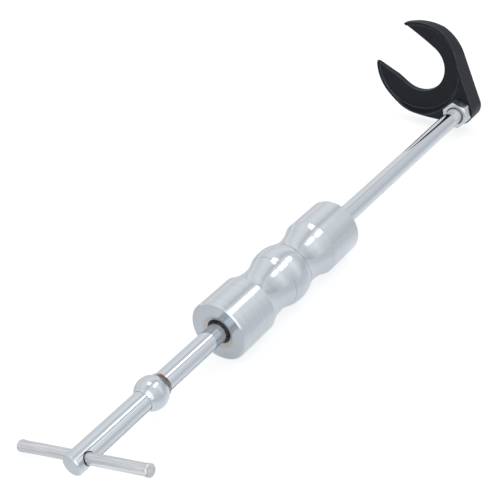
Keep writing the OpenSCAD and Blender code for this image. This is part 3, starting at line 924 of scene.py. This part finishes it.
class PULLER_OT_stop(bpy.types.Operator):
    """Turn the stop ball and lay the weld bead that holds it"""

    bl_idname = "puller.stop_ball"
    bl_label = "Stop ball and weld"

    def execute(self, context):
        scene = context.scene
        sizes = scene.puller_stop
        bore = scene.puller_rod.radius + sizes.seat_gap
        self.turn_ball(scene, sizes, bore)
        self.lay_bead(scene, sizes, bore)
        return {"FINISHED"}

    def turn_ball(self, scene, sizes, bore):
        """The ball with its bore, chamfered at the back."""
        mouth = bore + sizes.bore_chamfer
        rear_angle = math.degrees(math.acos(mouth / sizes.radius))
        front_angle = math.degrees(math.acos(bore / sizes.radius))
        face = arc((0, 0), sizes.radius, -rear_angle, front_angle, count=48)
        chamfer_slope = 1.4
        seat = -sizes.radius * math.sin(math.radians(front_angle)) + sizes.bore_chamfer * chamfer_slope
        ball = turned("stop_ball_turned", [(bore, seat)] + face + [(bore, seat)])
        ease_edges(ball, sizes.edge_ease, segments=2, smallest_turn=25)
        settle(ball, on_rod(sizes.setback))
        hand_over(ball, "stop_ball", ball_finish(scene.puller_finishes, sizes, mouth), smallest_turn=40)

    def lay_bead(self, scene, sizes, bore):
        """A rippled bead in the corner between ball and rod, open on the side that lies on the rod."""
        top = bore + sizes.weld_rise
        ball_top = math.sqrt(sizes.radius ** 2 - top ** 2)
        corner = math.sqrt(sizes.radius ** 2 - bore ** 2)
        toe = corner + sizes.weld_run
        crown = []
        crown_steps = 8
        for index in range(1, crown_steps + 1):
            share = index / crown_steps
            bulge = sizes.weld_bulge * math.sin(math.pi * share)
            crown.append((top + (bore - top) * share + bulge, ball_top + (toe - ball_top) * share + bulge))
        bore_angle, top_angle = (math.degrees(math.acos(height / sizes.radius)) for height in (bore, top))
        inner = arc((0, 0), sizes.radius + sizes.seat_gap, bore_angle, top_angle, count=6)
        bead = turned("weld_bead", inner + crown, FINE_STEPS)
        ripple = bpy.data.textures.new("bead ripple", "CLOUDS")
        ripple.noise_scale = sizes.ripple_size
        ripple.noise_depth = 2
        wave = bead.modifiers.new("ripple", "DISPLACE")
        wave.texture = ripple
        wave.texture_coords = "LOCAL"
        wave.mid_level = 0.62
        wave.strength = sizes.ripple_height
        apply_modifiers(bead)
        settle(bead, on_rod(sizes.setback))
        hand_over(bead, "stop_weld", bead_finish(scene.puller_finishes), smallest_turn=60)


def waist_arc(run, rise):
    """Radius and angle in degrees of an arc that leaves a waist level and climbs by a rise over a run."""
    radius = (run ** 2 + rise ** 2) / (2 * rise)
    return radius, math.degrees(math.asin(run / radius))


class PULLER_OT_hammer(bpy.types.Operator):
    """Turn the sliding weight with its crowned grip, waists and stepped bore"""

    bl_idname = "puller.slide_hammer"
    bl_label = "Sliding weight"

    def execute(self, context):
        sizes = context.scene.puller_hammer
        half = sizes.weight_length / 2
        upper = self.grip(sizes) + [
            (sizes.radius, half - sizes.edge_chamfer), (sizes.radius - sizes.edge_chamfer, half),
            (sizes.mouth_edge_radius, half), (sizes.mouth_radius, half - sizes.mouth_edge_depth),
            (sizes.mouth_radius, half - sizes.mouth_depth), (sizes.bore_radius, half - sizes.mouth_depth),
        ]
        section = below(upper[1:]) + upper
        weight = turned("hammer_weight", section + section[:1], FINE_STEPS)
        ease_edges(weight, sizes.edge_ease, segments=5, smallest_turn=40)
        settle(weight, on_rod(sizes.setback + half))
        finish = weight_finish(context.scene.puller_finishes, sizes)
        hand_over(weight, "slide_hammer", finish, smallest_turn=16)
        return {"FINISHED"}

    def grip(self, sizes):
        """The outline from the middle of the grip over its crown, the fine line and a waist."""
        crown = math.degrees(math.asin(sizes.crease_offset / sizes.crown_radius))
        outline = arc((sizes.grip_radius - sizes.crown_radius, 0), sizes.crown_radius, 0, crown, count=20)
        rim = outline[-1][0]
        outline.append((rim - sizes.crease_depth, sizes.crease_offset + sizes.crease_floor))
        flank, flank_angle = waist_arc(sizes.waist_offset - sizes.crease_offset - sizes.crease_width,
                                       rim - sizes.crease_step - sizes.waist_radius)
        centre = (sizes.waist_radius + flank, sizes.waist_offset)
        outline += arc(centre, flank, 180 + flank_angle, 180, count=18)
        shoulder_run = sizes.weight_length / 2 - sizes.end_length - sizes.waist_offset
        shoulder, end_angle = waist_arc(shoulder_run, sizes.radius - sizes.waist_radius)
        centre = (sizes.waist_radius + shoulder, sizes.waist_offset)
        return outline + arc(centre, shoulder, 180, 180 - end_angle, count=22)[1:]


class PULLER_OT_nut(bpy.types.Operator):
    """Model the jam nut with its bevelled corners"""

    bl_idname = "puller.jam_nut"
    bl_label = "Jam nut"

    def execute(self, context):
        sizes = context.scene.puller_nut
        corner = sizes.flats / 2 / math.cos(math.pi / 6)
        nut = self.hexagon(sizes, corner)
        inner = sizes.flats / 2 - sizes.bevel_inset
        slope = (corner - sizes.flats / 2) / sizes.bevel_height
        reach = corner + OVERRUN
        drop = (reach - inner) / slope
        lathe = turned("nut_lathe", [
            (0, 0), (inner, 0), (reach, drop), (reach, sizes.height - drop),
            (inner, sizes.height), (0, sizes.height),
        ])
        cut(nut, lathe, "INTERSECT")
        mouth = sizes.mouth_radius - sizes.bore_radius
        tap = turned("tap", [
            (0, -mouth), (sizes.mouth_radius + mouth, -mouth), (sizes.bore_radius, mouth),
            (sizes.bore_radius, sizes.height - mouth), (sizes.mouth_radius + mouth, sizes.height + mouth),
            (0, sizes.height + mouth),
        ], SMALL_STEPS)
        cut(nut, tap)
        ease_edges(nut, sizes.edge_ease, segments=3, smallest_turn=24)
        settle(nut, on_rod(sizes.setback) @ Matrix.Rotation(sizes.turn, 4, "Z"))
        hand_over(nut, "jam_nut", nut_finish(context.scene.puller_finishes), smallest_turn=30)
        return {"FINISHED"}

    def hexagon(self, sizes, corner):
        """A hexagonal bar of the nut's height with rounded corners."""
        bpy.ops.object.select_all(action="DESELECT")
        bpy.ops.mesh.primitive_cylinder_add(vertices=6, radius=corner, depth=sizes.height,
                                            location=(0, 0, sizes.height / 2))
        nut = bpy.context.active_object
        nut.name = nut.data.name = "hex_nut"
        bpy.ops.object.transform_apply(location=True, rotation=True, scale=True)
        mode("EDIT")
        select_all()
        bpy.ops.transform.rotate(value=-math.pi / 6, orient_axis="Z", center_override=(0, 0, 0))
        mode("OBJECT")
        round_edges(nut, sizes.corner_round,
                    lambda first, second: abs(first.z - second.z) > sizes.height / 2)
        return nut


class PULLER_OT_fork(bpy.types.Operator):
    """Round the forging's edges and fillets as the dies leave them"""

    bl_idname = "puller.forged_fork"
    bl_label = "Forged fork"

    def execute(self, context):
        sizes = context.scene.puller_fork
        bpy.ops.object.select_all(action="DESELECT")
        fork = frame["nodes"]["fork"].copy()
        fork.data = fork.data.copy()
        for key in list(fork.keys()):
            del fork[key]
        context.scene.collection.objects.link(fork)
        fork.parent = None
        fork.name = fork.data.name = "forged_fork"
        alone(fork)
        mode("EDIT")
        select_all()
        bpy.ops.mesh.remove_doubles(threshold=sizes.facet)
        select_all()
        bpy.ops.mesh.dissolve_limited(angle_limit=sizes.flatness)
        select_all()
        bpy.ops.mesh.quads_convert_to_tris(quad_method="BEAUTY", ngon_method="BEAUTY")
        mode("OBJECT")
        ease_edges(fork, sizes.edge_radius, segments=4, smallest_turn=14, clamp=False)
        hand_over(fork, "fork", forging_finish(context.scene.puller_finishes), smallest_turn=60)
        return {"FINISHED"}


class PULLER_OT_stage(bpy.types.Operator):
    """Set the floor, the soft lights, the world and the camera"""

    bl_idname = "puller.stage"
    bl_label = "Stage"

    def execute(self, context):
        scene = context.scene
        scene.view_settings.view_transform = "Standard"
        self.lay_floor(scene)
        self.hang_lights(scene)
        self.light_world(scene)
        self.set_camera(scene)
        return {"FINISHED"}

    def set_camera(self, scene):
        """The camera where the photograph was taken from."""
        data = bpy.data.cameras.new("camera")
        data.sensor_width = CAMERA_SENSOR
        data.lens = CAMERA_LENS
        data.clip_start = CAMERA_NEAR
        data.clip_end = CAMERA_FAR
        camera = bpy.data.objects.new("camera", data)
        camera.location = CAMERA_PLACE
        camera.rotation_euler = [math.radians(turn) for turn in CAMERA_TURN]
        scene.collection.objects.link(camera)
        scene.camera = camera

    def lay_floor(self, scene):
        """A large pale floor: white to the camera but for the tool's shadow, and pale in the metal."""
        bpy.ops.object.select_all(action="DESELECT")
        bpy.ops.mesh.primitive_plane_add(size=FLOOR_SIZE, location=(0, 0, -FLOOR_DROP))
        floor = bpy.context.active_object
        floor.name = "floor"
        bpy.ops.object.transform_apply(location=True, rotation=True, scale=True)
        material = bpy.data.materials.new("pale floor")
        material.use_nodes = True
        tree = material.node_tree
        tree.nodes.clear()
        colours = scene.puller_finishes
        path = tree.nodes.new("ShaderNodeLightPath")
        lit = add_node(tree, "ShaderNodeBsdfDiffuse", {"Color": (*colours.floor, 1.0)})
        mirrored = self.glowing(tree, colours.floor_mirrored, self.glow_beside_tool(tree))
        seen_glow = 0.78
        seen = self.glowing(tree, colours.floor_seen, seen_glow)
        others = mix_shaders(tree, path.outputs["Is Glossy Ray"], lit, mirrored)
        pick = mix_shaders(tree, path.outputs["Is Camera Ray"], others, seen)
        add_node(tree, "ShaderNodeOutputMaterial", {"Surface": pick.outputs[0]})
        floor.data.materials.append(material)

    def glow_beside_tool(self, tree):
        """The glow that the metal mirrors from the floor, strongest under the rod."""
        place = tree.nodes.new("ShaderNodeTexCoord").outputs["Object"]
        aside = apart(tree, split(tree, place)["X"], AXIS_X)
        dark_from, bright_to = 0.09, 0.01
        most = 0.34
        return span(tree, aside, dark_from, bright_to, 0.0, most)

    def glowing(self, tree, colour, strength):
        """A dull surface that also glows white."""
        dull = add_node(tree, "ShaderNodeBsdfDiffuse", {"Color": (*colour, 1.0)})
        glow = add_node(tree, "ShaderNodeEmission", {"Color": WHITE, "Strength": strength})
        return add_node(tree, "ShaderNodeAddShader", {0: dull.outputs[0], 1: glow.outputs[0]})

    def hang_lights(self, scene):
        """Soft rectangular lights high above the tool, two on its right and one on its left."""
        for lamp in LAMPS:
            data = bpy.data.lights.new(lamp["name"], "AREA")
            data.shape = "RECTANGLE"
            data.size = lamp["width"]
            data.size_y = lamp["depth"]
            data.energy = lamp["watts"]
            light = bpy.data.objects.new(lamp["name"], data)
            light.location = lamp["place"]
            scene.collection.objects.link(light)

    def light_world(self, scene):
        """A pale room: white to the camera, with soft bands round the rod's axis in reflections."""
        world = bpy.data.worlds.new("pale room")
        world.use_nodes = True
        scene.world = world
        tree = world.node_tree
        tree.nodes.clear()
        way = split(tree, tree.nodes.new("ShaderNodeTexCoord").outputs["Generated"])
        path = tree.nodes.new("ShaderNodeLightPath")
        room = add_node(tree, "ShaderNodeBackground", {"Color": (0.97, 0.98, 1.0, 1.0), "Strength": 0.92})
        bands = add_node(tree, "ShaderNodeBackground", {
            "Color": self.room_bands(tree, way), "Strength": self.room_strength(tree, way),
        })
        white = add_node(tree, "ShaderNodeBackground", {"Color": WHITE, "Strength": 1.0})
        others = mix_shaders(tree, path.outputs["Is Glossy Ray"], room, bands)
        pick = mix_shaders(tree, path.outputs["Is Camera Ray"], others, white)
        add_node(tree, "ShaderNodeOutputWorld", {"Surface": pick.outputs[0]})

    def room_bands(self, tree, way):
        """The bands' brightness, by the turn about the rod's axis."""
        turn = maths(tree, "ARCTAN2", way["X"], way["Z"])
        ramp = add_node(tree, "ShaderNodeValToRGB", {0: span(tree, turn, -math.pi / 2, math.pi / 2)})
        stops = ramp.color_ramp.elements
        while len(stops) < len(ROOM_BANDS):
            stops.new(0.5)
        for stop, (share, level) in zip(stops, ROOM_BANDS):
            stop.position = share
            stop.color = (level, level, level, 1.0)
        return ramp.outputs[0]

    def room_strength(self, tree, way):
        """The bands' strength: a bright panel behind the camera, and a change along the right wall."""
        panel_level, near_level, far_level = 1.8, 1.2, 0.68
        behind = span(tree, way["Y"], -0.45, -0.65)
        beside = span(tree, way["X"], -0.15, 0.15)
        panel = span(tree, times(tree, behind, beside), 0.0, 1.0, 1.0, panel_level)
        right_wall = span(tree, way["X"], 0.0, 0.25)
        near_end = span(tree, way["Y"], 0.2, 0.45, 1.0, near_level)
        far_end = span(tree, way["Y"], 0.45, 0.85, 1.0, far_level)
        change = minus(tree, times(tree, near_end, far_end), 1.0)
        return times(tree, maths(tree, "MULTIPLY_ADD", right_wall, change, 1.0), panel)


class PULLER_PT_panel(bpy.types.Panel):
    """Sizes, colours and steps of the seal puller"""

    bl_idname = "PULLER_PT_panel"
    bl_label = "Seal puller"
    bl_space_type = "VIEW_3D"
    bl_region_type = "UI"
    bl_category = "Puller"

    def draw(self, context):
        layout = self.layout
        for group, _ in GROUPS:
            box = layout.box()
            values = getattr(context.scene, group)
            for name in values.__annotations__:
                box.prop(values, name)
        for step in STEPS:
            layout.operator(step.bl_idname)


STEPS = (PULLER_OT_groups, PULLER_OT_rod, PULLER_OT_bar, PULLER_OT_stop, PULLER_OT_hammer,
         PULLER_OT_nut, PULLER_OT_fork, PULLER_OT_stage)
GROUPS = (("puller_rod", RodSizes), ("puller_stop", StopSizes), ("puller_hammer", HammerSizes),
          ("puller_nut", NutSizes), ("puller_fork", ForkSizes), ("puller_finishes", Finishes))


def register():
    """Registers the settings, the steps and the panel."""
    for name, group in GROUPS:
        bpy.utils.register_class(group)
        setattr(bpy.types.Scene, name, PointerProperty(type=group))
    for step in STEPS + (PULLER_PT_panel,):
        bpy.utils.register_class(step)


def unregister():
    """Takes them away again."""
    for step in reversed(STEPS + (PULLER_PT_panel,)):
        bpy.utils.unregister_class(step)
    for name, group in reversed(GROUPS):
        delattr(bpy.types.Scene, name)
        bpy.utils.unregister_class(group)


def main():
    """Runs every step in order."""
    register()
    bpy.ops.puller.shader_groups()
    bpy.ops.puller.guide_rod()
    bpy.ops.puller.cross_bar()
    bpy.ops.puller.stop_ball()
    bpy.ops.puller.slide_hammer()
    bpy.ops.puller.jam_nut()
    bpy.ops.puller.forged_fork()
    bpy.ops.puller.stage()


if __name__ == "__main__":
    main()
